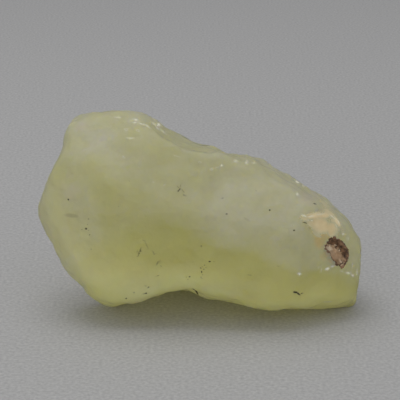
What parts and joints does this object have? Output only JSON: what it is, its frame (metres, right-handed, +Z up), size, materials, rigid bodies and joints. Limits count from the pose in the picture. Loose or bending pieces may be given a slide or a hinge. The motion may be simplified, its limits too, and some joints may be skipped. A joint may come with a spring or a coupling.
{
  "type": "raw desert glass lump",
  "caption": "Raw lump of milky pale yellow natural glass with a blunt tall end, a saddle, a long tapering end with a dark-lined pit, and a worn flat underneath.",
  "frame": {"origin": "centre of the bounding box, on the floor under the lump", "axes": "+X along the lump from its tall blunt end to its low pitted end, +Y towards its hidden back, +Z up from the worn flat that it rests on"},
  "size_m": [0.038, 0.017, 0.0231],
  "materials": {
    "desert_glass": "satin, sand-worn, milky and nearly opaque, with a small brown-lined pit and dark specks"
  },
  "bodies": {
    "root": {"desert_glass": "desert_glass"}
  },
  "joints": []
}
